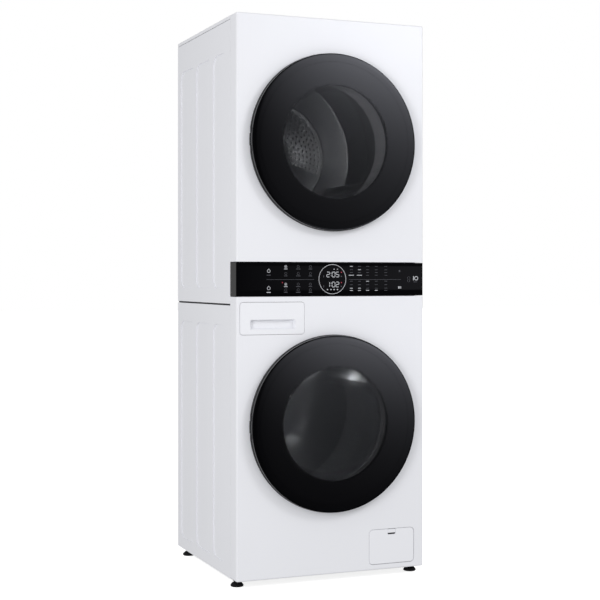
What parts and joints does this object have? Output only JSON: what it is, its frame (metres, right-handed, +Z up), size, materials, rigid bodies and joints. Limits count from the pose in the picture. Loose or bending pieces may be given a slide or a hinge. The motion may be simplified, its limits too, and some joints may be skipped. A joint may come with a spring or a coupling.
{
  "type": "washer dryer stack",
  "caption": "Tall white laundry tower: front-loading washer below, dryer above, round black glazed doors, a black glass control band between, detergent drawer and drain filter door.",
  "frame": {"origin": "on the floor under the middle of the whole bounding box", "axes": "+Z up, the doors face -Y, +X to the right seen from the front"},
  "size_m": [0.6, 0.636, 1.66],
  "materials": {
    "white_enamel": "smooth satin enamel on pressed sheet",
    "white_plastic": "satin moulding",
    "control_glass": "polished black panel with printed marks",
    "gloss_black": "gloss black moulding",
    "tinted_glass": "dark tinted, polished",
    "bowl_glass": "clear pressed glass",
    "black_plastic": "fine matte moulding",
    "grey_plastic": "matte moulding",
    "grey_rubber": "moulded seal rubber",
    "black_rubber": "matte rubber",
    "stainless": "bright stainless sheet",
    "zinc_sheet": "galvanised sheet",
    "spring_steel": "drawn wire",
    "cast_aluminium": "raw casting",
    "concrete": "cast concrete",
    "copper_winding": "enamelled winding on a steel core"
  },
  "bodies": {
    "cabinet": {"side_panel_lower_left": "white_enamel", "side_panel_lower_right": "white_enamel", "side_panel_upper_left": "white_enamel", "side_panel_upper_right": "white_enamel", "top_cover": "white_enamel", "front_panel_lower": "white_enamel", "front_panel_upper": "white_enamel", "drawer_housing": "white_plastic", "dryer_bulkhead_front": "white_plastic", "inlet_valve": "white_plastic", "control_glass": "control_glass", "washer_door_hinge": "black_plastic", "dryer_door_hinge": "black_plastic", "control_housing": "black_plastic", "mains_gland": "black_plastic", "middle_deck": "black_plastic", "damper_left": "black_plastic", "damper_right": "black_plastic", "drain_pump": "grey_plastic", "door_gasket": "grey_rubber", "foot_front_left": "black_rubber", "foot_front_right": "black_rubber", "foot_rear_left": "black_rubber", "foot_rear_right": "black_rubber", "drive_belt": "black_rubber", "base_pan": "zinc_sheet", "rear_panel_lower": "zinc_sheet", "rear_panel_upper": "zinc_sheet", "rear_cover": "zinc_sheet", "dryer_bulkhead_rear": "zinc_sheet", "exhaust_duct": "zinc_sheet", "dryer_motor": "zinc_sheet", "suspension_spring_left": "spring_steel", "suspension_spring_right": "spring_steel"},
    "washer_door": {"washer_door_rim": "gloss_black", "washer_door_glass": "tinted_glass", "washer_door_bowl": "bowl_glass", "washer_door_inner_frame": "black_plastic"},
    "dryer_door": {"dryer_door_rim": "gloss_black", "dryer_door_glass": "tinted_glass", "dryer_door_bowl": "bowl_glass", "dryer_door_inner_frame": "black_plastic"},
    "detergent_drawer": {"drawer_front": "white_plastic", "drawer_tray": "grey_plastic"},
    "filter_door": {"filter_door": "white_plastic"},
    "filter_latch": {"filter_latch": "white_plastic"},
    "filter_cap": {"filter_cap": "black_plastic"},
    "washer_tub": {"washer_tub_front": "grey_plastic", "washer_tub_rear": "grey_plastic", "counterweight": "concrete", "motor_stator": "copper_winding"},
    "washer_drum": {"washer_drum": "stainless", "drum_spider": "cast_aluminium", "motor_rotor": "zinc_sheet", "washer_lifter_1": "grey_plastic", "washer_lifter_2": "grey_plastic", "washer_lifter_3": "grey_plastic"},
    "dryer_drum": {"dryer_drum": "stainless"},
    "motor_pulley": {"motor_pulley": "spring_steel"},
    "lint_filter": {"lint_filter": "grey_plastic"}
  },
  "joints": [
    {"name": "washer_door_hinge", "type": "hinge", "parent": "cabinet", "child": "washer_door", "pos_m": [-0.2545, -0.3005, 0.467], "axis": [0, 0, -1], "range_deg": [0, 105]},
    {"name": "dryer_door_hinge", "type": "hinge", "parent": "cabinet", "child": "dryer_door", "pos_m": [-0.2545, -0.3005, 1.2945], "axis": [0, 0, -1], "range_deg": [0, 105]},
    {"name": "drawer_slide", "type": "slide", "parent": "cabinet", "child": "detergent_drawer", "axis": [0, -1, 0], "range_m": [0, 0.2]},
    {"name": "filter_door_hinge", "type": "hinge", "parent": "cabinet", "child": "filter_door", "pos_m": [0.194, -0.28, 0.055], "axis": [1, 0, 0], "range_deg": [0, 95]},
    {"name": "filter_latch_press", "type": "slide", "parent": "filter_door", "child": "filter_latch", "axis": [0, 0, -1], "range_m": [0, 0.004], "stiffness_N_per_m": 300, "springref_m": -0.001},
    {"name": "filter_cap_turn", "type": "hinge", "parent": "cabinet", "child": "filter_cap", "pos_m": [0.194, -0.26, 0.0905], "axis": [0, -1, 0], "range_deg": [0, 180]},
    {"name": "tub_float", "type": "slide", "parent": "cabinet", "child": "washer_tub", "axis": [0, 0, 1], "range_m": [-0.008, 0.005], "stiffness_N_per_m": 20000, "springref_m": 0.0193, "deforming": ["suspension_spring_left", "suspension_spring_right", "damper_left", "damper_right", "door_gasket"]},
    {"name": "washer_drum_spin", "type": "hinge", "parent": "washer_tub", "child": "washer_drum", "pos_m": [0, 0, 0.467], "axis": [0, 1, 0], "continuous": true},
    {"name": "dryer_drum_spin", "type": "hinge", "parent": "cabinet", "child": "dryer_drum", "pos_m": [0, 0, 1.2945], "axis": [0, 1, 0], "continuous": true},
    {"name": "motor_pulley_spin", "type": "hinge", "parent": "cabinet", "child": "motor_pulley", "pos_m": [0.165, 0.03, 0.905], "axis": [0, 1, 0], "continuous": true},
    {"name": "lint_filter_lift", "type": "slide", "parent": "cabinet", "child": "lint_filter", "axis": [0, 0, 1], "range_m": [0, 0.13]}
  ],
  "couplings": [
    {"joint": "motor_pulley_spin", "follows": "dryer_drum_spin", "ratio": 13.9}
  ]
}
